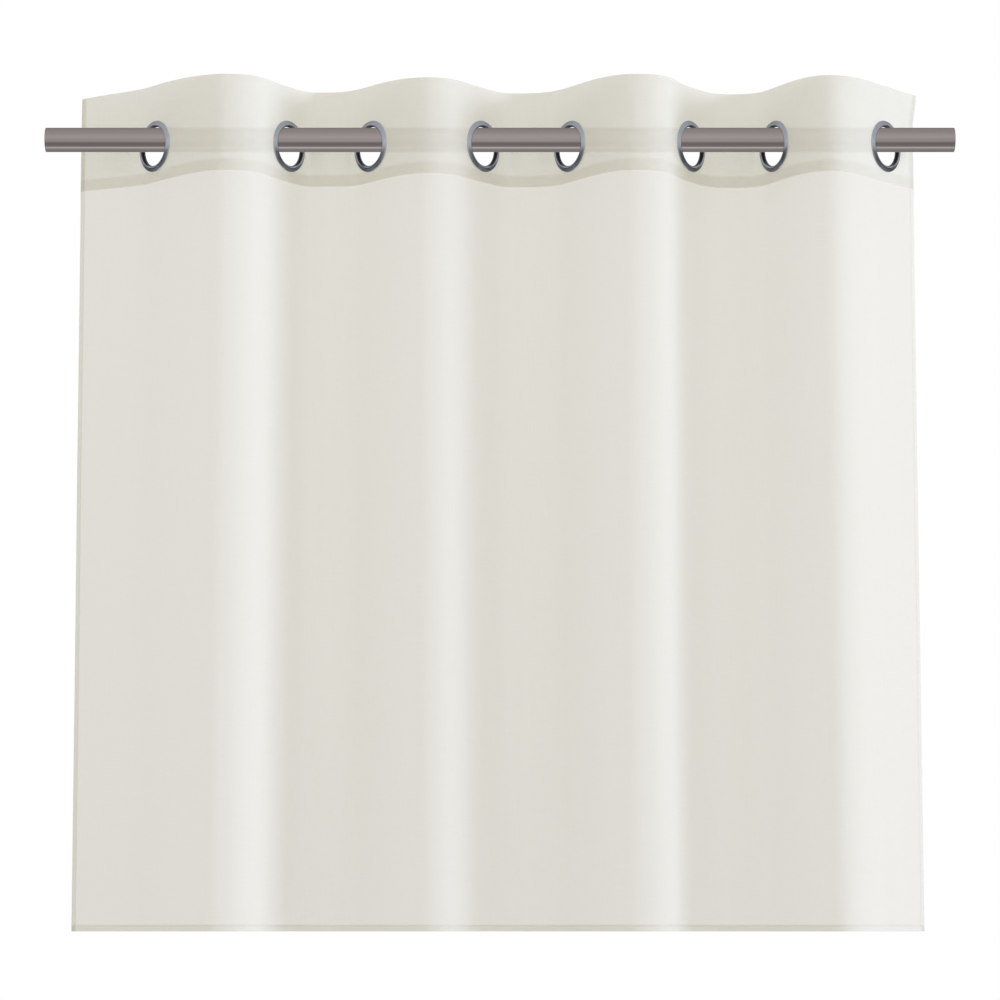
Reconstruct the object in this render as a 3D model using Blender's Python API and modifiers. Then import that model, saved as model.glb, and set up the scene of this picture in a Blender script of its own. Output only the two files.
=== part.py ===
"""Sheer voile eyelet curtain hanging in uneven folds on a plain round rod.

The origin is on the rod's axis, halfway along it. +X runs along the rod to the right,
-Y is the front and +Z is up. Units are metres.

The cloth weaves through eight eyelets: it passes in front of the rod between the first
and second, behind it between the second and third, and so on. Seen from above it is one
line, worked out from the two tables below, and every piece of cloth follows that line.
"""

import math
from collections import namedtuple

import bmesh
import bpy
from mathutils import Matrix, Vector

# Rod
ROD_RADIUS = 0.014
ROD_LENGTH = 1.046
ROD_SEGMENTS = 48
ROD_EDGE_ROUNDING = 0.0006

# Eyelet, a clamped ring with a flange on each face of the cloth
BORE_RADIUS = 0.0224
FLANGE_RADIUS = 0.0297
BARREL_RADIUS = 0.0252
GROOVE_HALF_WIDTH = 0.00125
RING_HALF_DEPTH = 0.0031
RING_DROP = 0.0077
RING_SEGMENTS = 32

# One face of the ring's section. The lip is given out from the bore and the flange in from
# the rim, with heights as shares of the ring's half depth
LIP_SECTION = ((0.0002, 0.16), (0.0008, 0.45), (0.0020, 0.74), (0.0040, 0.96))
FLANGE_SECTION = ((0.0016, 0.88), (0.0, 0.55))
FLANGE_EDGE_ROUNDING = 0.0002

# Cloth
TOP_Z = 0.0612
HEADING_BOTTOM_Z = -0.0495
BAND_TOP_Z = -0.0365
HEM_Z = -0.905
PIECE_GAP = 0.0003
HEM_WIDTH = 0.007
STEP_WIDTH = 0.001
PANEL_THICKNESS = 0.0012
PANEL_HEM_THICKNESS = 0.0018
HEADING_THICKNESS = 0.0015
HEADING_BAND_THICKNESS = 0.0019
HOLE_RADIUS = 0.0255
HOLE_SEGMENTS = 40
HOLE_CUT_DEPTH = 0.012
FLAT_HALF_LENGTH = 0.029

# Sampling of the folds
FINE_STEPS = 48
FOLD_COLUMNS = 14
FLAP_COLUMNS = 5
PANEL_ROWS = 7

# x of the ring's centre, how far the ring is turned from facing the front, in degrees, and
# how far the top edge over it leans back from the rod's axis
Eyelet = namedtuple("Eyelet", "x turn top_y")
EYELETS = (
    Eyelet(-0.3970, 49.5, -0.0114),
    Eyelet(-0.2432, 55.5, -0.0038),
    Eyelet(-0.1485, 49.5, -0.0086),
    Eyelet(-0.0198, 51.5, 0.0007),
    Eyelet(0.0807, 54.0, -0.0046),
    Eyelet(0.2195, 54.5, -0.0040),
    Eyelet(0.3160, 60.5, 0.0003),
    Eyelet(0.4437, 50.0, -0.0073),
)

# y of the fold's crest, how far the crest leans right of the middle between its two eyelets,
# and how far the fold runs along X on each side of its crest, then the first two at the hem
Fold = namedtuple("Fold", "depth lean left_run right_run hem_depth hem_lean")
FOLDS = (
    Fold(-0.0685, 0.0060, 0.0230, 0.0480, -0.067, 0.004),
    Fold(0.0245, -0.0075, 0.0120, 0.0150, 0.026, -0.006),
    Fold(-0.0514, 0.0020, 0.0215, 0.0300, -0.053, 0.006),
    Fold(0.0285, -0.0070, 0.0140, 0.0120, 0.029, -0.005),
    Fold(-0.0680, 0.0035, 0.0300, 0.0470, -0.066, 0.002),
    Fold(0.0333, -0.0015, 0.0120, 0.0120, 0.034, 0.000),
    Fold(-0.0623, -0.0045, 0.0265, 0.0255, -0.063, -0.002),
)
FOLD_REACH = 0.010

# The free edge beyond the first and last eyelets, at the top edge, at the rings and at the
# hem, and the angle at which the cloth reaches it, in degrees from X
Flap = namedtuple("Flap", "top_x top_y x y hem_x hem_y slope")
LEFT_FLAP = Flap(-0.4885, 0.0593, -0.4885, 0.0560, -0.4875, 0.0550, 48.0)
RIGHT_FLAP = Flap(0.4840, 0.0400, 0.4800, 0.0400, 0.4815, 0.0430, 50.0)
FLAP_RUN = 0.022

# The rings hold the cloth flat up to here, and the top edge leans from here
LEAN_START_Z = 0.0225

# The folds hold their shape down to here, then drift to their hem values
DRIFT_START_Z = -0.06


def clear_scene():
    for item in list(bpy.data.objects):
        bpy.data.objects.remove(item, do_unlink=True)


def collection_named(name):
    made = bpy.data.collections.new(name)
    bpy.context.scene.collection.children.link(made)
    return made


def material_named(name, colour, roughness, metallic=0.0):
    made = bpy.data.materials.new(name)
    made.use_nodes = True
    shader = made.node_tree.nodes["Principled BSDF"]
    shader.inputs["Base Color"].default_value = (*colour, 1.0)
    shader.inputs["Roughness"].default_value = roughness
    shader.inputs["Metallic"].default_value = metallic
    made.diffuse_color = (*colour, 1.0)
    return made


def object_from(bm, name, collection, material=None):
    mesh = bpy.data.meshes.new(name)
    bmesh.ops.recalc_face_normals(bm, faces=bm.faces)
    bm.to_mesh(mesh)
    bm.free()
    made = bpy.data.objects.new(name, mesh)
    collection.objects.link(made)
    if material:
        mesh.materials.append(material)
    return made


def blend(a, b, share):
    return a + (b - a) * share


def eased(share):
    share = min(max(share, 0.0), 1.0)
    return share * share * (3.0 - 2.0 * share)


def drift_at(z):
    """0 along the heading, 1 at the hem."""
    return eased((DRIFT_START_Z - z) / (DRIFT_START_Z - HEM_Z))


def lean_at(z):
    """0 up to the rings' top, 1 at the top edge."""
    return eased((z - LEAN_START_Z) / (TOP_Z - LEAN_START_Z))


def along(index):
    """The cloth's direction seen from above, left to right, where it passes eyelet index."""
    turn = math.radians(EYELETS[index].turn)
    to_front = -1.0 if index % 2 == 0 else 1.0
    return Vector((math.cos(turn), to_front * math.sin(turn)))


def pass_point(index, z):
    """The middle of the flat at eyelet index."""
    return Vector((EYELETS[index].x, EYELETS[index].top_y * lean_at(z)))


def bezier(start, first, second, end, steps):
    points = []
    for step in range(1, steps + 1):
        t = step / steps
        u = 1.0 - t
        points.append(
            start * u**3 + first * (3.0 * u * u * t) + second * (3.0 * u * t * t) + end * t**3
        )
    return points


def fold_line(index, z):
    """The line from the flat at eyelet index to the flat at the next one."""
    fold = FOLDS[index]
    drift = drift_at(z)
    leaving = along(index)
    arriving = along(index + 1)
    start = pass_point(index, z) + leaving * FLAT_HALF_LENGTH
    end = pass_point(index + 1, z) - arriving * FLAT_HALF_LENGTH
    middle = (EYELETS[index].x + EYELETS[index + 1].x) / 2.0
    crest_x = middle + blend(fold.lean, fold.hem_lean, drift)
    crest = Vector((crest_x, blend(fold.depth, fold.hem_depth, drift)))
    left = crest - Vector((fold.left_run, 0.0))
    right = crest + Vector((fold.right_run, 0.0))
    line = [start] + bezier(start, start + leaving * FOLD_REACH, left, crest, FINE_STEPS)
    return line + bezier(crest, right, end - arriving * FOLD_REACH, end, FINE_STEPS)


def flap_edge(flap, z):
    """The free edge at height z."""
    top = Vector((flap.top_x, flap.top_y))
    held = Vector((flap.x, flap.y))
    hem = Vector((flap.hem_x, flap.hem_y))
    return held.lerp(top, lean_at(z)).lerp(hem, drift_at(z))


def flap_line(flap, index, outward, z):
    """The line from the flat at an end eyelet out to the free edge."""
    leaving = along(index) * outward
    start = pass_point(index, z) + leaving * FLAT_HALF_LENGTH
    end = flap_edge(flap, z)
    slope = math.radians(flap.slope)
    arrival = Vector((outward * math.cos(slope), math.sin(slope)))
    second = end - arrival * FLAP_RUN
    return [start] + bezier(start, start + leaving * FOLD_REACH, second, end, FINE_STEPS)


def resampled(line, stations):
    """The points of a line at the given distances along it."""
    lengths = [0.0]
    for before, after in zip(line, line[1:]):
        lengths.append(lengths[-1] + (after - before).length)
    points = []
    at = 0
    for station in stations:
        wanted = min(station, lengths[-1])
        while at < len(line) - 2 and lengths[at + 1] < wanted:
            at += 1
        share = (wanted - lengths[at]) / (lengths[at + 1] - lengths[at])
        points.append(line[at].lerp(line[at + 1], share))
    return points


def length_of(line):
    return sum((after - before).length for before, after in zip(line, line[1:]))


def evenly(line, columns):
    total = length_of(line)
    return resampled(line, [total * step / columns for step in range(columns + 1)])


def flap_points(line):
    """From the flat outwards, with the hem's two columns last."""
    total = length_of(line)
    plain = total - HEM_WIDTH - STEP_WIDTH
    stations = [plain * step / FLAP_COLUMNS for step in range(FLAP_COLUMNS + 1)]
    return resampled(line, stations + [total - HEM_WIDTH, total])


def plan_line(z):
    """The cloth's middle line seen from above, from its left edge to its right edge."""
    last = len(EYELETS) - 1
    points = list(reversed(flap_points(flap_line(LEFT_FLAP, 0, -1.0, z))))
    for index in range(last):
        points += evenly(fold_line(index, z), FOLD_COLUMNS)
    points += flap_points(flap_line(RIGHT_FLAP, last, 1.0, z))
    return points


def hung_sheet(name, levels, thick_rows, thick_ends, thickness, extra, collection, material):
    """A sheet that follows the plan line between the levels, thicker where it is turned over.

    thick_rows are the levels, and thick_ends the number of columns at each side edge,
    that have the extra thickness.
    """
    plans = [plan_line(z) for z in levels]
    columns = len(plans[0]) - 1
    rows = len(levels) - 1
    bm = bmesh.new()
    bmesh.ops.create_grid(bm, x_segments=columns, y_segments=rows, size=1.0)
    thick = []
    for vert in bm.verts:
        column = round((vert.co.x + 1.0) / 2.0 * columns)
        row = round((vert.co.y + 1.0) / 2.0 * rows)
        at = plans[row][column]
        vert.co = (at.x, at.y, levels[row])
        at_end = min(column, columns - column) < thick_ends
        if levels[row] in thick_rows or at_end:
            thick.append(vert.index)
    made = object_from(bm, name, collection, material)
    group = made.vertex_groups.new(name="turned_over")
    group.add(thick, 1.0, "REPLACE")
    solid = made.modifiers.new("cloth_thickness", "SOLIDIFY")
    solid.thickness = extra
    solid.offset = 0.0
    solid.use_even_offset = True
    solid.vertex_group = group.name
    solid.thickness_vertex_group = thickness / extra
    return made


def make_panel(collection, material):
    """The single layer below the heading, with narrow side hems and a bottom hem."""
    top = HEADING_BOTTOM_Z - PIECE_GAP
    hem_top = HEM_Z + HEM_WIDTH
    plain_bottom = hem_top + STEP_WIDTH
    levels = [blend(plain_bottom, top, row / PANEL_ROWS) for row in range(PANEL_ROWS + 1)]
    levels = [HEM_Z, hem_top] + levels
    return hung_sheet(
        "panel",
        levels,
        levels[:2],
        2,
        PANEL_THICKNESS,
        PANEL_HEM_THICKNESS,
        collection,
        material,
    )


def ring_place(index):
    """Where eyelet index sits: its own Z is the ring's axis, its own X runs along the cloth."""
    run = along(index)
    across = Vector((run.x, run.y, 0.0))
    up = Vector((0.0, 0.0, 1.0))
    axis = across.cross(up)
    turned = Matrix((across, up, axis)).transposed().to_4x4()
    return Matrix.Translation((EYELETS[index].x, 0.0, -RING_DROP)) @ turned


def make_heading(collection, helpers, material):
    """The turned-over strip along the top, with a hole for each eyelet."""
    levels = [HEADING_BOTTOM_Z, BAND_TOP_Z, BAND_TOP_Z + STEP_WIDTH, LEAN_START_Z, TOP_Z]
    made = hung_sheet(
        "heading",
        levels,
        levels[:2],
        2,
        HEADING_THICKNESS,
        HEADING_BAND_THICKNESS,
        collection,
        material,
    )
    bm = bmesh.new()
    for index in range(len(EYELETS)):
        bmesh.ops.create_cone(
            bm,
            cap_ends=True,
            segments=HOLE_SEGMENTS,
            radius1=HOLE_RADIUS,
            radius2=HOLE_RADIUS,
            depth=HOLE_CUT_DEPTH,
            matrix=ring_place(index),
        )
    cutter = object_from(bm, "eyelet_holes", helpers)
    cutter.hide_render = True
    cutter.display_type = "WIRE"
    cut = made.modifiers.new("eyelet_holes", "BOOLEAN")
    cut.operation = "DIFFERENCE"
    cut.solver = "EXACT"
    cut.object = cutter
    return made


def ring_profile():
    """Radius and height around the ring's section: the lip, the flange and the groove."""
    upper = [(BORE_RADIUS + out, share * RING_HALF_DEPTH) for out, share in LIP_SECTION]
    upper += [(FLANGE_RADIUS - back, share * RING_HALF_DEPTH) for back, share in FLANGE_SECTION]
    upper.append((FLANGE_RADIUS - FLANGE_EDGE_ROUNDING, GROOVE_HALF_WIDTH))
    upper.append((BARREL_RADIUS, GROOVE_HALF_WIDTH))
    lower = [(radius, -height) for radius, height in reversed(upper)]
    return upper + lower


def make_eyelet(index, collection, material):
    bm = bmesh.new()
    verts = [bm.verts.new((radius, 0.0, height)) for radius, height in ring_profile()]
    edges = [bm.edges.new((a, b)) for a, b in zip(verts, verts[1:] + verts[:1])]
    bmesh.ops.spin(
        bm,
        geom=verts + edges,
        cent=(0.0, 0.0, 0.0),
        axis=(0.0, 0.0, 1.0),
        angle=math.tau,
        steps=RING_SEGMENTS,
        use_merge=True,
    )
    bmesh.ops.remove_doubles(bm, verts=bm.verts, dist=1e-6)
    made = object_from(bm, f"eyelet_{index + 1}", collection, material)
    made.matrix_world = ring_place(index)
    made.data.shade_smooth()
    return made


def make_rod(collection, material):
    bm = bmesh.new()
    bmesh.ops.create_cone(
        bm,
        cap_ends=True,
        segments=ROD_SEGMENTS,
        radius1=ROD_RADIUS,
        radius2=ROD_RADIUS,
        depth=ROD_LENGTH,
        matrix=Matrix.Rotation(math.pi / 2.0, 4, "Y"),
    )
    ends = [edge for edge in bm.edges if abs(edge.verts[0].co.x - edge.verts[1].co.x) < 1e-6]
    bmesh.ops.bevel(
        bm,
        geom=ends,
        offset=ROD_EDGE_ROUNDING,
        segments=2,
        profile=0.5,
        affect="EDGES",
        material=-1,
    )
    for face in bm.faces:
        face.smooth = len(face.verts) == 4
    return object_from(bm, "rod", collection, material)


def main():
    clear_scene()
    parts = collection_named("sheer_voile_curtain")
    helpers = collection_named("helpers")
    voile = material_named("voile", (0.73, 0.71, 0.645), 0.90)
    doubled = material_named("voile_turned_over", (0.66, 0.645, 0.565), 0.90)
    taupe = material_named("taupe_metal", (0.28, 0.245, 0.24), 0.35, 0.8)
    chrome = material_named("grey_chrome", (0.42, 0.45, 0.50), 0.15, 1.0)
    make_rod(parts, taupe)
    make_heading(parts, helpers, doubled)
    make_panel(parts, voile)
    for index in range(len(EYELETS)):
        make_eyelet(index, parts, chrome)


main()
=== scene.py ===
"""Sheer voile eyelet curtain on a plain rod: the cloth, eyelets and rod in full detail.

Everything is in metres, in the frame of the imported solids: the origin is on the rod's axis,
halfway along it, +X runs along the rod to the right, -Y is the front and +Z is up.
"""

import math
from collections import namedtuple

import bmesh
import bpy
from bpy.props import FloatProperty, FloatVectorProperty, IntProperty, PointerProperty
from mathutils import Matrix, Vector, noise


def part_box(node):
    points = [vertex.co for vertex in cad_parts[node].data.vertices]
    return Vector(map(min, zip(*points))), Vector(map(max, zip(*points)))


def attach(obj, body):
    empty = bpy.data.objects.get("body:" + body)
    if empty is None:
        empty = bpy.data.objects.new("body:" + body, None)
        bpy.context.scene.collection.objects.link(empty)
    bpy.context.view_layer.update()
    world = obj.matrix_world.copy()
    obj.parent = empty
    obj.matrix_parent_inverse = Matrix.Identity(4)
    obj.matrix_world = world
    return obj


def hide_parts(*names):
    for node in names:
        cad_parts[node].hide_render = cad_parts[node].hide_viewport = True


bl_info = {
    "name": "Sheer voile curtain",
    "version": (1, 0, 0),
    "blender": (4, 5, 0),
    "location": "3D View > Sidebar > Curtain",
    "description": "Builds a sheer eyelet curtain on its rod",
    "category": "Object",
}

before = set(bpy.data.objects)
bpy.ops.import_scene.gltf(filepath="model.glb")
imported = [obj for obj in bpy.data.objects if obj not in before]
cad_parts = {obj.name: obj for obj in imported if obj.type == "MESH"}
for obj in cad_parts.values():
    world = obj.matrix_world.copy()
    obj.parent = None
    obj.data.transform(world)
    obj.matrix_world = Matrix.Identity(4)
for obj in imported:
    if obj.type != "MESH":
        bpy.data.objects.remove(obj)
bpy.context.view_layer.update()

# Sizes that come from the solids
ROD_LOW, ROD_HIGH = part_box("rod")
ROD_RADIUS = (ROD_HIGH.z - ROD_LOW.z) / 2.0
TOP_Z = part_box("heading")[1].z
HEADING_BOTTOM_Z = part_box("heading")[0].z
HEM_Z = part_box("panel")[0].z
RING_LOW, RING_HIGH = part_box("eyelet_1")
RING_Z = (RING_LOW.z + RING_HIGH.z) / 2.0

# x of the ring's centre, how far the ring is turned from facing the front, in degrees, and
# how far the top edge over it leans back from the rod's axis
Eyelet = namedtuple("Eyelet", "x turn top_y")
EYELETS = (
    Eyelet(-0.3970, 49.5, -0.0114),
    Eyelet(-0.2432, 55.5, -0.0038),
    Eyelet(-0.1485, 49.5, -0.0086),
    Eyelet(-0.0198, 51.5, 0.0007),
    Eyelet(0.0807, 54.0, -0.0046),
    Eyelet(0.2195, 54.5, -0.0040),
    Eyelet(0.3160, 60.5, 0.0003),
    Eyelet(0.4437, 50.0, -0.0073),
)

# y of the fold's crest, how far the crest leans right of the middle between its two eyelets,
# and how far the fold runs along X on each side of its crest, then the first two at the hem
Fold = namedtuple("Fold", "depth lean left_run right_run hem_depth hem_lean")
FOLDS = (
    Fold(-0.0685, 0.0060, 0.0230, 0.0480, -0.067, 0.004),
    Fold(0.0245, -0.0075, 0.0120, 0.0150, 0.026, -0.006),
    Fold(-0.0514, 0.0020, 0.0215, 0.0300, -0.053, 0.006),
    Fold(0.0285, -0.0070, 0.0140, 0.0120, 0.029, -0.005),
    Fold(-0.0680, 0.0035, 0.0300, 0.0470, -0.066, 0.002),
    Fold(0.0333, -0.0015, 0.0120, 0.0120, 0.034, 0.000),
    Fold(-0.0623, -0.0045, 0.0265, 0.0255, -0.063, -0.002),
)

# The free edge beyond the first and last eyelets, at the top edge, at the rings and at the
# hem, and the angle at which the cloth reaches it, in degrees from X
Flap = namedtuple("Flap", "top_x top_y x y hem_x hem_y slope")
LEFT_FLAP = Flap(-0.4885, 0.0593, -0.4885, 0.0560, -0.4875, 0.0550, 48.0)
RIGHT_FLAP = Flap(0.4840, 0.0400, 0.4800, 0.0400, 0.4815, 0.0430, 50.0)
FLAP_RUN = 0.022

# The rings hold the cloth flat up to here, and the top edge leans from here
LEAN_START_Z = 0.0225

# The folds drift towards their places at the hem from here down
DRIFT_START_Z = -0.06

# Half the length of the flat at each eyelet, between its rings and where it hangs free, how
# far from the ring's centre the second starts, and how far the flat's direction carries on
FLAT_HALF_LENGTH = 0.029
FREE_HALF_LENGTH = 0.012
HELD_HEIGHT = 0.014
FREE_HEIGHT = 0.030
HANDLE_REACH = 0.039

# Small unevenness of the hanging voile: waves per metre along the cloth and down it, a seed
# and the height in metres. It reaches its full height RIPPLE_DROP below the heading
Ripple = namedtuple("Ripple", "along down seed height")
RIPPLES = (
    Ripple(9.0, 1.6, 0.0, 0.0009),
    Ripple(34.0, 4.0, 7.0, 0.0003),
)
RIPPLE_DROP = 0.25

# Steps along each curve before it is divided into columns, and the numbers of faces
FINE_STEPS = 96
FLAP_COLUMNS = 9
PANEL_ROWS = 72
HEADING_ROWS = 34
RING_STEPS = 96
ROD_SEGMENTS = 128

# Where a hem has its columns, as shares of its width in from the free edge, and where the
# cloth has its rows as it turns over, as shares of the half turn
HEM_SHARES = (0.0, 0.04, 0.30, 0.65, 1.0)
TURN_SHARES = (0.25, 0.5, 0.75)

# How far a side hem's return lies from the cloth, as a share of the gap between two layers
RETURN_SHARE = 0.30

# The ring's section over one face, from the middle of the bore to the rim and back in to the
# groove: radius and height in metres
RING_SECTION = (
    (0.02240, 0.00000),
    (0.02245, 0.00070),
    (0.02270, 0.00145),
    (0.02315, 0.00220),
    (0.02375, 0.00278),
    (0.02440, 0.00306),
    (0.02500, 0.00308),
    (0.02550, 0.00296),
    (0.02640, 0.00262),
    (0.02740, 0.00222),
    (0.02840, 0.00181),
    (0.02910, 0.00148),
    (0.02950, 0.00118),
    (0.02970, 0.00080),
    (0.02955, 0.00056),
    (0.02520, 0.00056),
)

# The painted shade on the bore's wall ends at this radius
BORE_SHADE_RADIUS = 0.0235

# A point of the cloth this near to a ring's plane can lie in its hole
HOLE_DEPTH = 0.003

ROD_BEVEL = 0.0006

# The key light: the way it travels, its colour and how wide it is
KEY_TRAVEL = Vector((-0.977, 0.188, -0.10))
KEY_COLOUR = (0.66, 0.74, 1.0)
KEY_ANGLE = math.radians(21.0)

FLOOR_HALF_SIZE = 1.5


class ClothSizes(bpy.types.PropertyGroup):
    """How the voile is cut, folded and woven."""

    layer_gap: FloatProperty(
        name="Layer gap",
        description="Distance between the heading's front and back layers",
        default=0.0009,
        unit="LENGTH",
    )
    band_height: FloatProperty(
        name="Band height",
        description="How far the heading's raw edge is turned under",
        default=0.013,
        unit="LENGTH",
    )
    hem_width: FloatProperty(
        name="Hem width",
        description="Width of the side hems and the bottom hem",
        default=0.007,
        unit="LENGTH",
    )
    hole_radius: FloatProperty(
        name="Hole radius",
        description="Radius of the hole under each eyelet",
        default=0.0262,
        unit="LENGTH",
    )
    thread_pitch: FloatProperty(
        name="Thread pitch",
        description="Distance between the threads of the weave",
        default=0.0007,
        unit="LENGTH",
    )
    cover: FloatProperty(
        name="Cover",
        description="Share of the cloth's face that is thread and not gap",
        default=0.70,
        min=0.0,
        max=1.0,
        subtype="FACTOR",
    )
    fold_columns: IntProperty(
        name="Fold columns",
        description="Number of faces across each fold",
        default=36,
    )
    flat_columns: IntProperty(
        name="Flat columns",
        description="Number of faces across the flat at each eyelet",
        default=16,
    )


class CurtainColours(bpy.types.PropertyGroup):
    """Colours of the cloth and metal."""

    voile: FloatVectorProperty(
        name="Voile",
        description="Colour of the threads",
        default=(0.80, 0.765, 0.665),
        subtype="COLOR",
        size=3,
    )
    # Painted light: a lighter copy of the voile's colour, laid on the hems and the heading where
    # layers double, to brighten them as light would
    doubled_painted_light: FloatVectorProperty(
        name="Doubled voile",
        description="Colour of the threads where layers back each other",
        default=(0.875, 0.854, 0.766),
        subtype="COLOR",
        size=3,
    )
    rod: FloatVectorProperty(
        name="Rod",
        description="Colour of the rod's metal finish",
        default=(0.370, 0.325, 0.318),
        subtype="COLOR",
        size=3,
    )
    ring: FloatVectorProperty(
        name="Eyelets",
        description="Colour of the eyelets' metal",
        default=(0.50, 0.53, 0.58),
        subtype="COLOR",
        size=3,
    )
    # Painted shade: this near-black colour on the wall inside each eyelet stands in for the shade
    # in the bore
    bore_painted_shade: FloatVectorProperty(
        name="Bore",
        description="Colour of the wall inside each eyelet, where the plating is thin",
        default=(0.07, 0.08, 0.10),
        subtype="COLOR",
        size=3,
    )


class StageSettings(bpy.types.PropertyGroup):
    """Camera, light and floor."""

    camera_distance: FloatProperty(
        name="Camera distance",
        description="Distance in front of the rod",
        default=4.079,
        unit="LENGTH",
    )
    camera_height: FloatProperty(
        name="Camera height",
        description="Height against the rod's axis",
        default=-0.905,
        unit="LENGTH",
    )
    camera_tilt: FloatProperty(
        name="Camera tilt",
        description="How far the camera looks up",
        default=math.radians(6.814),
        subtype="ANGLE",
    )
    lens: FloatProperty(
        name="Lens",
        description="Focal length in millimetres on a 36 mm sensor",
        default=129.97,
    )
    key_strength: FloatProperty(
        name="Key strength",
        description="Strength of the light from the right",
        default=2.15,
    )
    ambient: FloatProperty(
        name="Ambient",
        description="Brightness of the light from all around",
        default=0.705,
    )
    front_light: FloatProperty(
        name="Front light",
        description="How much brighter the surroundings are straight in front",
        default=0.38,
    )
    floor_drop: FloatProperty(
        name="Floor drop",
        description="Distance from the hem down to the floor",
        default=0.145,
        unit="LENGTH",
    )


def blend(a, b, share):
    return a + (b - a) * share


def eased(share):
    share = min(max(share, 0.0), 1.0)
    return share * share * (3.0 - 2.0 * share)


def drift_at(z):
    """0 along the heading, 1 at the hem."""
    return eased((DRIFT_START_Z - z) / (DRIFT_START_Z - HEM_Z))


def lean_at(z):
    """0 up to the rings' top, 1 at the top edge."""
    return eased((z - LEAN_START_Z) / (TOP_Z - LEAN_START_Z))


def flat_half_at(z):
    """Half the length of the flat at height z: it shrinks with the part that the ring holds."""
    away = abs(z - RING_Z)
    free = eased((away - HELD_HEIGHT) / (FREE_HEIGHT - HELD_HEIGHT))
    return blend(FLAT_HALF_LENGTH, FREE_HALF_LENGTH, free)


def along(index):
    """The cloth's direction seen from above, left to right, where it passes eyelet index."""
    turn = math.radians(EYELETS[index].turn)
    to_front = -1.0 if index % 2 == 0 else 1.0
    return Vector((math.cos(turn), to_front * math.sin(turn)))


def pass_point(index, z):
    """The middle of the flat at eyelet index."""
    return Vector((EYELETS[index].x, EYELETS[index].top_y * lean_at(z)))


def bezier(start, first, second, end, steps):
    points = []
    for step in range(1, steps + 1):
        t = step / steps
        u = 1.0 - t
        points.append(
            start * u**3 + first * (3.0 * u * u * t) + second * (3.0 * u * t * t) + end * t**3
        )
    return points


def fold_line(index, z):
    """The line from the flat at eyelet index to the flat at the next one."""
    fold = FOLDS[index]
    drift = drift_at(z)
    leaving = along(index)
    arriving = along(index + 1)
    half = flat_half_at(z)
    reach = HANDLE_REACH - half
    start = pass_point(index, z) + leaving * half
    end = pass_point(index + 1, z) - arriving * half
    middle = (EYELETS[index].x + EYELETS[index + 1].x) / 2.0
    crest_x = middle + blend(fold.lean, fold.hem_lean, drift)
    crest = Vector((crest_x, blend(fold.depth, fold.hem_depth, drift)))
    left = crest - Vector((fold.left_run, 0.0))
    right = crest + Vector((fold.right_run, 0.0))
    line = [start] + bezier(start, start + leaving * reach, left, crest, FINE_STEPS)
    return line + bezier(crest, right, end - arriving * reach, end, FINE_STEPS)


def flap_edge(flap, z):
    """The free edge at height z."""
    top = Vector((flap.top_x, flap.top_y))
    held = Vector((flap.x, flap.y))
    hem = Vector((flap.hem_x, flap.hem_y))
    return held.lerp(top, lean_at(z)).lerp(hem, drift_at(z))


def flap_line(flap, index, outward, z):
    """The line from the flat at an end eyelet out to the free edge."""
    leaving = along(index) * outward
    half = flat_half_at(z)
    start = pass_point(index, z) + leaving * half
    end = flap_edge(flap, z)
    slope = math.radians(flap.slope)
    arrival = Vector((outward * math.cos(slope), math.sin(slope)))
    second = end - arrival * FLAP_RUN
    first = start + leaving * (HANDLE_REACH - half)
    return [start] + bezier(start, first, second, end, FINE_STEPS)


def running_lengths(line):
    lengths = [0.0]
    for before, after in zip(line, line[1:]):
        lengths.append(lengths[-1] + (after - before).length)
    return lengths


def resampled(line, stations):
    """The points of a line at the given distances along it."""
    lengths = running_lengths(line)
    points = []
    at = 0
    for station in stations:
        wanted = min(max(station, 0.0), lengths[-1])
        while at < len(line) - 2 and lengths[at + 1] < wanted:
            at += 1
        share = (wanted - lengths[at]) / (lengths[at + 1] - lengths[at])
        points.append(line[at].lerp(line[at + 1], share))
    return points


def shares(count):
    return [step / count for step in range(1, count + 1)]


def plan_stretches(z):
    """The cloth's middle line seen from above, as one line for each flap, flat and fold."""
    last = len(EYELETS) - 1
    left = flap_line(LEFT_FLAP, 0, -1.0, z)
    stretches = [list(reversed(left))]
    for index in range(len(EYELETS)):
        middle = pass_point(index, z)
        reach = along(index) * flat_half_at(z)
        stretches.append([middle - reach, middle + reach])
        if index < last:
            stretches.append(fold_line(index, z))
    stretches.append(flap_line(RIGHT_FLAP, last, 1.0, z))
    return stretches


def hem_stations(width):
    """Distances in from a free edge where the hem needs its columns."""
    return [width * share for share in HEM_SHARES]


def plan_points(z, sizes):
    """(point, distance along the cloth) for every column, from the left edge to the right."""
    stretches = plan_stretches(z)
    points = []
    travelled = 0.0
    for number, line in enumerate(stretches):
        total = running_lengths(line)[-1]
        if number == 0:
            hem = hem_stations(sizes.hem_width)
            rest = [blend(hem[-1], total, share) for share in shares(FLAP_COLUMNS)]
            stations = hem + rest
        elif number == len(stretches) - 1:
            hem = [total - station for station in reversed(hem_stations(sizes.hem_width))]
            stations = [hem[0] * share for share in shares(FLAP_COLUMNS)][:-1] + hem
        elif len(line) == 2:
            stations = [total * share for share in shares(sizes.flat_columns)]
        else:
            stations = [total * share for share in shares(sizes.fold_columns)]
        for point, station in zip(resampled(line, stations), stations):
            points.append((point, travelled + station))
        travelled += total
    return points


def normals_of(points):
    """The direction to the front, square to the line, at each of its points."""
    normals = []
    for index in range(len(points)):
        before = points[max(index - 1, 0)][0]
        after = points[min(index + 1, len(points) - 1)][0]
        run = (after - before).normalized()
        normals.append(Vector((run.y, -run.x)))
    return normals


# One row of the cloth: its height, its offset to the front, its distance along the cut
# length, and how far to the front a side hem's return lies from it, in return gaps
Row = namedtuple("Row", "z offset length return_side")
BEHIND = -1.0
ON_THE_FOLD = 0.0
BEFORE_BACK_LAYER = 0.6
BEFORE_BAND = 0.3

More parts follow.
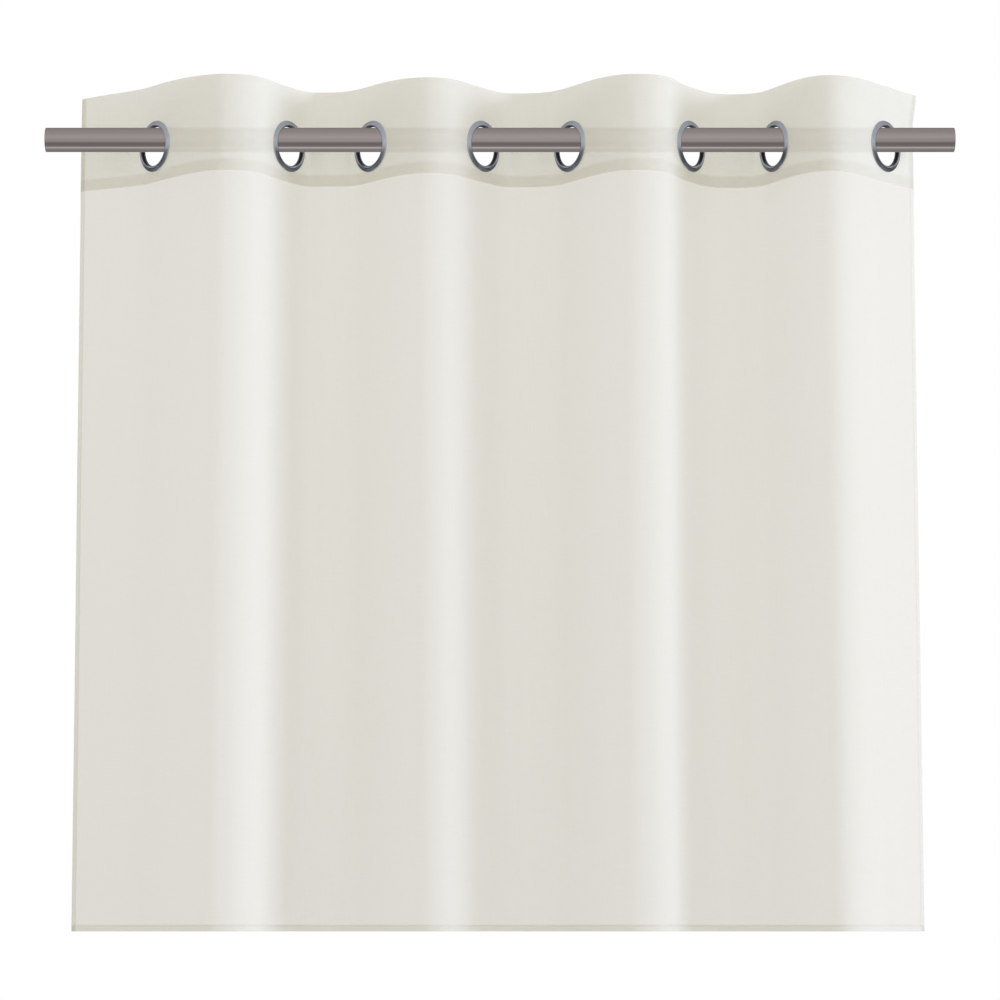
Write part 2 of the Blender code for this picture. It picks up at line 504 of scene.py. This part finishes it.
# Rows up a hem and up the band, as shares of its height, and how close the bottom hem's
# return lies, as a share of half the gap between two layers
HEM_ROWS = (0.02, 0.33, 0.66, 1.0)
BAND_ROWS = (0.02, 0.2, 0.4, 0.6, 0.8, 1.0)
HEM_GAP_SHARE = 0.8

# The rows change from the panel's spacing to the heading's this far below the heading, and
# the front layer comes forward over the last stretch below it
PANEL_TOP_DROP = 0.002
FORWARD_DROP = 0.03


def turned(z, start_offset, end_offset, length, upward, return_side):
    """Rows that carry the cloth round a fold at height z."""
    rows = []
    radius = abs(end_offset - start_offset) / 2.0
    middle = (start_offset + end_offset) / 2.0
    for share in TURN_SHARES:
        angle = math.pi * share
        offset = middle + (start_offset - middle) * math.cos(angle)
        rise = radius * math.sin(angle) * (1.0 if upward else -1.0)
        rows.append(Row(z + rise, offset, length + radius * angle, return_side))
    return rows


def cloth_rows(sizes):
    """Rows from the bottom hem's raw edge, up the front, over the top and down the back."""
    half = sizes.layer_gap / 2.0
    hem_gap = half * HEM_GAP_SHARE
    low = HEM_Z + 0.5 * hem_gap
    top = TOP_Z - half
    bottom = HEADING_BOTTOM_Z + 0.5 * half
    rows = []
    for share in reversed(HEM_ROWS):
        z = low + sizes.hem_width * share
        rows.append(Row(z, -hem_gap, sizes.hem_width * (1.0 - share), BEHIND))
    length = sizes.hem_width
    rows += turned(low, -hem_gap, 0.0, length, False, BEHIND)
    heights = [low + sizes.hem_width * share for share in HEM_ROWS]
    panel_top = HEADING_BOTTOM_Z - PANEL_TOP_DROP
    heights += [blend(heights[-1], panel_top, share) for share in shares(PANEL_ROWS)]
    heights += [blend(panel_top, top, share) for share in shares(HEADING_ROWS)]
    for z in heights:
        forward = half * eased((z - HEADING_BOTTOM_Z + FORWARD_DROP) / FORWARD_DROP)
        rows.append(Row(z, forward, length + z - low, BEHIND))
    length += top - low
    rows += turned(top, half, -half, length, True, ON_THE_FOLD)
    length += math.pi * half
    for share in [0.0] + shares(HEADING_ROWS):
        z = blend(top, bottom, share)
        rows.append(Row(z, -half, length + top - z, BEFORE_BACK_LAYER))
    length += top - bottom
    rows += turned(bottom, -half, 0.0, length, False, BEFORE_BAND)
    for share in BAND_ROWS:
        rise = sizes.band_height * share
        rows.append(Row(bottom + rise, 0.0, length + rise, BEFORE_BAND))
    return rows


def ripple(distance, z):
    """Small unevenness of hanging voile, none where the eyelets hold it flat."""
    height = 0.0
    for wave in RIPPLES:
        at = Vector((distance * wave.along, wave.seed, z * wave.down))
        height += wave.height * noise.noise(at)
    return height * eased((HEADING_BOTTOM_Z - z) / RIPPLE_DROP)


def cloth_columns(sizes, z):
    """(point, normal, distance, how far it lies back as a hem's return) for every column."""
    points = plan_points(z, sizes)
    normals = normals_of(points)
    edge = len(hem_stations(sizes.hem_width))
    total = points[-1][1]
    columns = []
    for index in reversed(range(1, edge)):
        point, distance = points[index]
        columns.append((point, normals[index], -distance, 1.0))
    columns.append((points[0][0], normals[0], 0.0, 0.5))
    for index in range(1, len(points) - 1):
        columns.append((points[index][0], normals[index], points[index][1], 0.0))
    columns.append((points[-1][0], normals[-1], total, 0.5))
    for index in range(2, edge + 1):
        point, distance = points[-index]
        columns.append((point, normals[-index], 2.0 * total - distance, 1.0))
    return columns


def near_ring(point, radius):
    """Whether a point on the cloth lies inside the hole of the eyelet that it is nearest."""
    for index, eyelet in enumerate(EYELETS):
        run = along(index)
        offset = Vector((point.x - eyelet.x, point.y))
        across = offset.dot(run)
        away = abs(offset.dot(Vector((run.y, -run.x))))
        if away < HOLE_DEPTH and across * across + (point.z - RING_Z) ** 2 < radius * radius:
            return True
    return False


def cloth_mesh(sizes):
    """The whole cut length as one sheet, with its hems and its heading turned over."""
    rows = cloth_rows(sizes)
    table = []
    for row in rows:
        table.append(cloth_columns(sizes, row.z))
    columns = len(table[0]) - 1
    count = len(rows) - 1
    total = max(column[2] for column in table[0] if column[3] < 1.0)
    return_gap = sizes.layer_gap * RETURN_SHARE
    bm = bmesh.new()
    bmesh.ops.create_grid(bm, x_segments=columns, y_segments=count, size=1.0)
    uv = bm.loops.layers.uv.new("cut")
    doubled_painted_light = bm.verts.layers.float.new("doubled_painted_light")
    flat = {}
    for vert in bm.verts:
        column = round((vert.co.x + 1.0) / 2.0 * columns)
        row = round((vert.co.y + 1.0) / 2.0 * count)
        line, normal, distance, back = table[row][column]
        offset = rows[row].offset + back * return_gap * rows[row].return_side
        offset += ripple(abs(distance), rows[row].z)
        at = line + normal * offset
        vert.co = (at.x, at.y, rows[row].z)
        in_hem = back > 0.0 or min(distance, total - distance) < sizes.hem_width * 0.99
        in_band = rows[row].z < HEM_Z + sizes.hem_width or rows[row].z > HEADING_BOTTOM_Z
        # The hems and the heading, where layers double, get the painted lighter thread colour
        vert[doubled_painted_light] = 1.0 if in_hem or in_band else 0.0
        flat[vert] = (distance, rows[row].length)
    for face in bm.faces:
        face.smooth = True
        for loop in face.loops:
            loop[uv].uv = flat[loop.vert]
    holes = [face for face in bm.faces if near_ring(face.calc_center_median(), sizes.hole_radius)]
    bmesh.ops.delete(bm, geom=holes, context="FACES")
    flat_size = (table[0][-1][2] - table[0][0][2], rows[-1].length)
    return bm, flat_size


def finished(bm, name, material, slot, *nodes):
    """Makes the mesh a piece that rides on the curtain and stands for the given nodes."""
    mesh = bpy.data.meshes.new(name)
    bm.to_mesh(mesh)
    bm.free()
    mesh.materials.append(material)
    piece = bpy.data.objects.new(name, mesh)
    bpy.context.scene.collection.objects.link(piece)
    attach(piece, "root")
    if nodes:
        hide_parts(*nodes)
    return piece


# Node helpers


def new_node(tree, kind, **values):
    node = tree.nodes.new(kind)
    for name, value in values.items():
        if hasattr(node, name):
            setattr(node, name, value)
        else:
            node.inputs[name.replace("_", " ")].default_value = value
    return node


def math_node(tree, operation, first, second=None, third=None):
    node = tree.nodes.new("ShaderNodeMath")
    node.operation = operation
    for socket, value in zip(node.inputs, (first, second, third)):
        if value is None:
            continue
        if isinstance(value, (int, float)):
            socket.default_value = value
        else:
            tree.links.new(value, socket)
    return node.outputs[0]


def weave_group():
    """Plain weave: threads across each other at one pitch, with thick and thin stretches."""
    tree = bpy.data.node_groups.new("plain_weave", "ShaderNodeTree")
    sockets = tree.interface
    sockets.new_socket("Cut", in_out="INPUT", socket_type="NodeSocketVector")
    sockets.new_socket("Pitch", in_out="INPUT", socket_type="NodeSocketFloat")
    sockets.new_socket("Cover", in_out="INPUT", socket_type="NodeSocketFloat")
    sockets.new_socket("Colour", in_out="INPUT", socket_type="NodeSocketColor")
    sockets.new_socket("Thread Colour", in_out="OUTPUT", socket_type="NodeSocketColor")
    sockets.new_socket("Thread Cover", in_out="OUTPUT", socket_type="NodeSocketFloat")
    sockets.new_socket("Height", in_out="OUTPUT", socket_type="NodeSocketFloat")
    given = tree.nodes.new("NodeGroupInput")
    result = tree.nodes.new("NodeGroupOutput")
    parts = tree.nodes.new("ShaderNodeSeparateXYZ")
    tree.links.new(given.outputs["Cut"], parts.inputs[0])
    threads = []
    for axis in (0, 1):
        turn = math_node(tree, "DIVIDE", parts.outputs[axis], given.outputs["Pitch"])
        wave = math_node(tree, "SINE", math_node(tree, "MULTIPLY", turn, math.pi))
        threads.append(math_node(tree, "ABSOLUTE", wave))
    slubs = []
    for stretch in ((900.0, 30.0, 1.0), (30.0, 900.0, 1.0)):
        mapping = tree.nodes.new("ShaderNodeMapping")
        mapping.inputs["Scale"].default_value = stretch
        tree.links.new(given.outputs["Cut"], mapping.inputs["Vector"])
        field = new_node(tree, "ShaderNodeTexNoise", Scale=1.0, Detail=2.0, Roughness=0.6)
        tree.links.new(mapping.outputs[0], field.inputs["Vector"])
        slubs.append(field.outputs["Fac"])
    crossing = math_node(tree, "MAXIMUM", threads[0], threads[1])
    slub = math_node(tree, "SUBTRACT", math_node(tree, "ADD", slubs[0], slubs[1]), 1.0)
    weave = math_node(tree, "MULTIPLY_ADD", math_node(tree, "SUBTRACT", crossing, 0.83), 0.20, 1.0)
    varied = math_node(tree, "MULTIPLY_ADD", slub, 0.03, weave)
    cover = math_node(tree, "MULTIPLY", given.outputs["Cover"], varied)
    tree.links.new(cover, result.inputs["Thread Cover"])
    tint = new_node(tree, "ShaderNodeMix", data_type="RGBA", blend_type="MULTIPLY")
    tint.inputs["Factor"].default_value = 1.0
    tree.links.new(given.outputs["Colour"], tint.inputs["A"])
    grey = tree.nodes.new("ShaderNodeCombineColor")
    level = math_node(tree, "MULTIPLY_ADD", slub, 0.03, 1.0)
    for channel in grey.inputs:
        tree.links.new(level, channel)
    tree.links.new(grey.outputs[0], tint.inputs["B"])
    tree.links.new(tint.outputs["Result"], result.inputs["Thread Colour"])
    height = math_node(tree, "ADD", crossing, slub)
    tree.links.new(height, result.inputs["Height"])
    return tree


def new_material(name):
    material = bpy.data.materials.new(name)
    material.use_nodes = True
    return material, material.node_tree


def voile_material(sizes, colours):
    """Open plain weave that lets some light and sight through, with painted light on the threads
    where layers double.
    """
    material, tree = new_material("sheer_voile")
    shader = tree.nodes["Principled BSDF"]
    output = tree.nodes["Material Output"]
    cut = new_node(tree, "ShaderNodeUVMap", uv_map="cut")
    weave = tree.nodes.new("ShaderNodeGroup")
    weave.node_tree = weave_group()
    weave.inputs["Pitch"].default_value = sizes.thread_pitch
    weave.inputs["Cover"].default_value = sizes.cover
    tree.links.new(cut.outputs["UV"], weave.inputs["Cut"])
    # Painted light: where layers double, the threads take the lighter colour instead of the
    # voile's own
    layers = new_node(tree, "ShaderNodeAttribute", attribute_name="doubled_painted_light")
    colour = new_node(tree, "ShaderNodeMix", data_type="RGBA")
    tree.links.new(layers.outputs["Fac"], colour.inputs["Factor"])
    colour.inputs["A"].default_value = (*colours.voile, 1.0)
    colour.inputs["B"].default_value = (*colours.doubled_painted_light, 1.0)
    tree.links.new(colour.outputs["Result"], weave.inputs["Colour"])
    tree.links.new(weave.outputs["Thread Colour"], shader.inputs["Base Color"])
    shader.inputs["Roughness"].default_value = 0.9
    shader.inputs["Specular IOR Level"].default_value = 0.1
    bump = new_node(tree, "ShaderNodeBump", Strength=0.04, Distance=0.0002)
    tree.links.new(weave.outputs["Height"], bump.inputs["Height"])
    tree.links.new(bump.outputs[0], shader.inputs["Normal"])
    glow = tree.nodes.new("ShaderNodeBsdfTranslucent")
    tree.links.new(weave.outputs["Thread Colour"], glow.inputs["Color"])
    threads = tree.nodes.new("ShaderNodeMixShader")
    threads.inputs[0].default_value = 0.30
    tree.links.new(shader.outputs[0], threads.inputs[1])
    tree.links.new(glow.outputs[0], threads.inputs[2])
    gaps = tree.nodes.new("ShaderNodeBsdfTransparent")
    mixed = tree.nodes.new("ShaderNodeMixShader")
    tree.links.new(weave.outputs["Thread Cover"], mixed.inputs[0])
    tree.links.new(gaps.outputs[0], mixed.inputs[1])
    tree.links.new(threads.outputs[0], mixed.inputs[2])
    tree.links.new(mixed.outputs[0], output.inputs["Surface"])
    return material


def ring_material(colours):
    """Polished plated metal with faint turning marks and fingerprints, and painted shade on the
    bore's wall.
    """
    material, tree = new_material("plated_eyelet")
    shader = tree.nodes["Principled BSDF"]
    place = tree.nodes.new("ShaderNodeTexCoord")
    cloudy = new_node(tree, "ShaderNodeTexNoise", Scale=160.0, Detail=3.0, Roughness=0.6)
    tree.links.new(place.outputs["Object"], cloudy.inputs["Vector"])
    tone = tree.nodes.new("ShaderNodeValToRGB")
    tone.color_ramp.elements[0].color = (*[0.86 * c for c in colours.ring], 1.0)
    tone.color_ramp.elements[1].color = (*[1.06 * c for c in colours.ring], 1.0)
    tree.links.new(cloudy.outputs["Fac"], tone.inputs[0])
    # Painted shade: the bore's wall takes the dark colour
    wall = new_node(tree, "ShaderNodeAttribute", attribute_name="bore_painted_shade")
    colour = new_node(tree, "ShaderNodeMix", data_type="RGBA")
    tree.links.new(wall.outputs["Fac"], colour.inputs["Factor"])
    tree.links.new(tone.outputs["Color"], colour.inputs["A"])
    colour.inputs["B"].default_value = (*colours.bore_painted_shade, 1.0)
    tree.links.new(colour.outputs["Result"], shader.inputs["Base Color"])
    rough = new_node(tree, "ShaderNodeMapRange", To_Min=0.10, To_Max=0.20)
    tree.links.new(cloudy.outputs["Fac"], rough.inputs["Value"])
    tree.links.new(rough.outputs[0], shader.inputs["Roughness"])
    shader.inputs["Metallic"].default_value = 1.0
    return material


def rod_material(colours):
    """Taupe metallic finish with faint lines along the rod."""
    material, tree = new_material("taupe_rod")
    shader = tree.nodes["Principled BSDF"]
    place = tree.nodes.new("ShaderNodeTexCoord")
    mapping = tree.nodes.new("ShaderNodeMapping")
    mapping.inputs["Scale"].default_value = (3.0, 420.0, 420.0)
    tree.links.new(place.outputs["Object"], mapping.inputs["Vector"])
    grain = new_node(tree, "ShaderNodeTexNoise", Scale=1.0, Detail=3.0, Roughness=0.6)
    tree.links.new(mapping.outputs[0], grain.inputs["Vector"])
    tone = tree.nodes.new("ShaderNodeValToRGB")
    tone.color_ramp.elements[0].color = (*[0.92 * c for c in colours.rod], 1.0)
    tone.color_ramp.elements[1].color = (*[1.06 * c for c in colours.rod], 1.0)
    tree.links.new(grain.outputs["Fac"], tone.inputs[0])
    tree.links.new(tone.outputs["Color"], shader.inputs["Base Color"])
    rough = new_node(tree, "ShaderNodeMapRange", To_Min=0.17, To_Max=0.22)
    tree.links.new(grain.outputs["Fac"], rough.inputs["Value"])
    tree.links.new(rough.outputs[0], shader.inputs["Roughness"])
    shader.inputs["Metallic"].default_value = 1.0
    shader.inputs["Anisotropic"].default_value = 1.0
    shader.inputs["Anisotropic Rotation"].default_value = 0.25
    around = new_node(tree, "ShaderNodeTangent", direction_type="RADIAL", axis="X")
    tree.links.new(around.outputs[0], shader.inputs["Tangent"])
    return material


class CURTAIN_OT_cloth(bpy.types.Operator):
    """Hangs the voile in its folds, hemmed and turned over at the top."""

    bl_idname = "curtain.cloth"
    bl_label = "Cloth"

    def execute(self, context):
        sizes = context.scene.curtain_cloth
        material = voile_material(sizes, context.scene.curtain_colours)
        bm, flat = cloth_mesh(sizes)
        cloth = finished(bm, "voile_cloth", material, "voile", "panel", "heading")
        # The metal mirrors only the studio
        cloth.visible_glossy = False
        return {"FINISHED"}


def ring_place(index):
    """Where eyelet index sits: its own Z is the ring's axis, its own X runs along the cloth."""
    run = along(index)
    across = Vector((run.x, run.y, 0.0))
    up = Vector((0.0, 0.0, 1.0))
    turned_by = Matrix((across, up, across.cross(up))).transposed().to_4x4()
    return Matrix.Translation((EYELETS[index].x, 0.0, RING_Z)) @ turned_by


def ring_mesh():
    """A ring with a flange on each face and a fine groove where its two halves meet."""
    upper = list(RING_SECTION)
    section = upper + [(radius, -height) for radius, height in reversed(upper[1:])]
    bm = bmesh.new()
    verts = [bm.verts.new((radius, 0.0, height)) for radius, height in section]
    edges = [bm.edges.new((a, b)) for a, b in zip(verts, verts[1:] + verts[:1])]
    bmesh.ops.spin(
        bm,
        geom=verts + edges,
        cent=(0.0, 0.0, 0.0),
        axis=(0.0, 0.0, 1.0),
        angle=math.tau,
        steps=RING_STEPS,
        use_merge=True,
    )
    bmesh.ops.remove_doubles(bm, verts=bm.verts, dist=1e-6)
    bmesh.ops.recalc_face_normals(bm, faces=bm.faces)
    # Marks the bore's wall, which gets painted shade
    bore_painted_shade = bm.verts.layers.float.new("bore_painted_shade")
    for vert in bm.verts:
        vert[bore_painted_shade] = 1.0 if vert.co.xy.length < BORE_SHADE_RADIUS else 0.0
    for face in bm.faces:
        face.smooth = True
    return bm


class CURTAIN_OT_eyelets(bpy.types.Operator):
    """Clamps an eyelet round each hole."""

    bl_idname = "curtain.eyelets"
    bl_label = "Eyelets"

    def execute(self, context):
        material = ring_material(context.scene.curtain_colours)
        for index in range(len(EYELETS)):
            bm = ring_mesh()
            bm.transform(ring_place(index))
            number = index + 1
            name = f"plated_eyelet_{number}"
            ring = finished(bm, name, material, "grey_chrome", f"eyelet_{number}")
            # The rod doesn't mirror it, and the cloth stays evenly lit beside it
            ring.visible_glossy = False
            ring.visible_diffuse = False
        return {"FINISHED"}


class CURTAIN_OT_rod(bpy.types.Operator):
    """Puts the rod through the eyelets."""

    bl_idname = "curtain.rod"
    bl_label = "Rod"

    def execute(self, context):
        bm = bmesh.new()
        bmesh.ops.create_cone(
            bm,
            cap_ends=True,
            segments=ROD_SEGMENTS,
            radius1=ROD_RADIUS,
            radius2=ROD_RADIUS,
            depth=ROD_HIGH.x - ROD_LOW.x,
            matrix=Matrix.Rotation(math.pi / 2.0, 4, "Y"),
        )
        ends = [edge for edge in bm.edges if abs(edge.verts[0].co.x - edge.verts[1].co.x) < 1e-6]
        bmesh.ops.bevel(
            bm, geom=ends, offset=ROD_BEVEL, segments=3, profile=0.5, affect="EDGES", material=-1
        )
        for face in bm.faces:
            face.smooth = len(face.verts) == 4
        material = rod_material(context.scene.curtain_colours)
        rod = finished(bm, "taupe_rod", material, "taupe_metal", "rod")
        # The cloth behind it stays evenly lit
        rod.visible_diffuse = False
        return {"FINISHED"}


def floor_material():
    """Pale matt floor with faint clouding."""
    material, tree = new_material("pale_floor")
    shader = tree.nodes["Principled BSDF"]
    place = tree.nodes.new("ShaderNodeTexCoord")
    cloudy = new_node(tree, "ShaderNodeTexNoise", Scale=2.0, Detail=2.0)
    tree.links.new(place.outputs["Object"], cloudy.inputs["Vector"])
    tone = tree.nodes.new("ShaderNodeValToRGB")
    tone.color_ramp.elements[0].color = (0.78, 0.78, 0.77, 1.0)
    tone.color_ramp.elements[1].color = (0.84, 0.84, 0.83, 1.0)
    tree.links.new(cloudy.outputs["Fac"], tone.inputs[0])
    tree.links.new(tone.outputs["Color"], shader.inputs["Base Color"])
    shader.inputs["Roughness"].default_value = 0.9
    return material


# What polished metal mirrors: (place on the ramp, brightness). Ahead of and behind the
# curtain the ramp turns about the rod, from behind at 0 under it to 0.25, the front at 0.5,
# overhead at 0.75 and behind at 1. To the sides it rises from straight down at 0 to
# overhead at 1
MIRRORED_AHEAD = (
    (0.060, 0.36),
    (0.120, 0.52),
    (0.172, 0.57),
    (0.205, 0.66),
    (0.228, 1.30),
    (0.254, 1.20),
    (0.288, 0.44),
    (0.382, 0.40),
    (0.410, 0.66),
    (0.438, 0.86),
    (0.520, 0.92),
    (0.580, 0.91),
    (0.681, 0.75),
    (0.808, 0.61),
    (0.870, 0.36),
)
MIRRORED_ASIDE = (
    (0.00, 0.30),
    (0.30, 0.10),
    (0.36, 0.22),
    (0.40, 0.08),
    (0.50, 0.05),
    (0.54, 0.55),
    (0.62, 0.72),
    (0.70, 0.60),
    (1.00, 0.50),
)


def ramp(tree, table, value):
    node = tree.nodes.new("ShaderNodeValToRGB")
    elements = node.color_ramp.elements
    while len(elements) < len(table):
        elements.new(0.5)
    for element, (position, level) in zip(elements, table):
        element.position = position
        element.color = (level, level, level, 1.0)
    tree.links.new(value, node.inputs[0])
    return node.outputs["Color"]


def light_the_stage(scene, settings):
    """White surroundings, an even light from all around and a low key light from the right."""
    world = bpy.data.worlds.new("white_studio")
    scene.world = world
    world.use_nodes = True
    tree = world.node_tree
    shader = tree.nodes["Background"]
    place = tree.nodes.new("ShaderNodeTexCoord")
    parts = tree.nodes.new("ShaderNodeSeparateXYZ")
    tree.links.new(place.outputs["Generated"], parts.inputs[0])
    height = math_node(tree, "MULTIPLY_ADD", parts.outputs["Z"], 0.5, 0.5)
    forward = math_node(tree, "MULTIPLY", parts.outputs["Y"], -1.0)
    angle = math_node(tree, "ARCTAN2", parts.outputs["Z"], forward)
    turn = math_node(tree, "MULTIPLY_ADD", angle, 1.0 / math.tau, 0.5)
    aside = math_node(tree, "MULTIPLY", parts.outputs["X"], parts.outputs["X"])
    mirrored = new_node(tree, "ShaderNodeMix", data_type="RGBA")
    tree.links.new(aside, mirrored.inputs["Factor"])
    tree.links.new(ramp(tree, MIRRORED_AHEAD, turn), mirrored.inputs["A"])
    tree.links.new(ramp(tree, MIRRORED_ASIDE, height), mirrored.inputs["B"])
    path = tree.nodes.new("ShaderNodeLightPath")
    lit = new_node(tree, "ShaderNodeMix", data_type="RGBA")
    tree.links.new(path.outputs["Is Glossy Ray"], lit.inputs["Factor"])
    front = math_node(tree, "MAXIMUM", forward, 0.0)
    lobe = math_node(tree, "MULTIPLY", front, front)
    even = math_node(tree, "MULTIPLY_ADD", lobe, settings.front_light, settings.ambient)
    tree.links.new(even, lit.inputs["A"])
    tree.links.new(mirrored.outputs["Result"], lit.inputs["B"])
    seen = new_node(tree, "ShaderNodeMix", data_type="RGBA")
    tree.links.new(path.outputs["Is Camera Ray"], seen.inputs["Factor"])
    tree.links.new(lit.outputs["Result"], seen.inputs["A"])
    seen.inputs["B"].default_value = (1.0, 1.0, 1.0, 1.0)
    tree.links.new(seen.outputs["Result"], shader.inputs["Color"])
    sun = bpy.data.lights.new("key", "SUN")
    sun.energy = settings.key_strength
    sun.color = KEY_COLOUR
    sun.angle = KEY_ANGLE
    key = bpy.data.objects.new("key", sun)
    scene.collection.objects.link(key)
    key.visible_glossy = False
    key.rotation_euler = KEY_TRAVEL.to_track_quat("-Z", "Y").to_euler()


class CURTAIN_OT_stage(bpy.types.Operator):
    """Sets up the floor, the light and the camera."""

    bl_idname = "curtain.stage"
    bl_label = "Stage"

    def execute(self, context):
        scene = context.scene
        settings = scene.curtain_stage
        bm = bmesh.new()
        bmesh.ops.create_grid(bm, x_segments=8, y_segments=8, size=FLOOR_HALF_SIZE)
        bmesh.ops.translate(bm, verts=bm.verts, vec=(0.0, 0.0, HEM_Z - settings.floor_drop))
        mesh = bpy.data.meshes.new("floor")
        bm.to_mesh(mesh)
        bm.free()
        mesh.materials.append(floor_material())
        floor = bpy.data.objects.new("floor", mesh)
        scene.collection.objects.link(floor)
        floor.visible_glossy = False
        light_the_stage(scene, settings)
        lens = bpy.data.cameras.new("camera")
        lens.lens = settings.lens
        lens.sensor_width = 36.0
        lens.clip_end = 100.0
        camera = bpy.data.objects.new("camera", lens)
        scene.collection.objects.link(camera)
        camera.location = (0.0, -settings.camera_distance, settings.camera_height)
        camera.rotation_euler = (math.pi / 2.0 + settings.camera_tilt, 0.0, 0.0)
        scene.camera = camera
        scene.view_settings.view_transform = "Standard"
        return {"FINISHED"}


class CURTAIN_PT_pieces(bpy.types.Panel):
    """Lists the curtain's pieces and their settings."""

    bl_label = "Sheer curtain"
    bl_idname = "CURTAIN_PT_pieces"
    bl_space_type = "VIEW_3D"
    bl_region_type = "UI"
    bl_category = "Curtain"

    def draw(self, context):
        layout = self.layout
        for operator in OPERATORS:
            layout.operator(operator.bl_idname)
        for settings in (
            context.scene.curtain_cloth,
            context.scene.curtain_colours,
            context.scene.curtain_stage,
        ):
            column = layout.column()
            for name in settings.__annotations__:
                column.prop(settings, name)


OPERATORS = (CURTAIN_OT_stage, CURTAIN_OT_rod, CURTAIN_OT_eyelets, CURTAIN_OT_cloth)
CLASSES = (ClothSizes, CurtainColours, StageSettings, *OPERATORS, CURTAIN_PT_pieces)


def register():
    for item in CLASSES:
        bpy.utils.register_class(item)
    bpy.types.Scene.curtain_cloth = PointerProperty(type=ClothSizes)
    bpy.types.Scene.curtain_colours = PointerProperty(type=CurtainColours)
    bpy.types.Scene.curtain_stage = PointerProperty(type=StageSettings)


def unregister():
    del bpy.types.Scene.curtain_stage
    del bpy.types.Scene.curtain_colours
    del bpy.types.Scene.curtain_cloth
    for item in reversed(CLASSES):
        bpy.utils.unregister_class(item)


def main():
    register()
    bpy.ops.curtain.stage()
    bpy.ops.curtain.rod()
    bpy.ops.curtain.eyelets()
    bpy.ops.curtain.cloth()


if __name__ == "__main__":
    main()
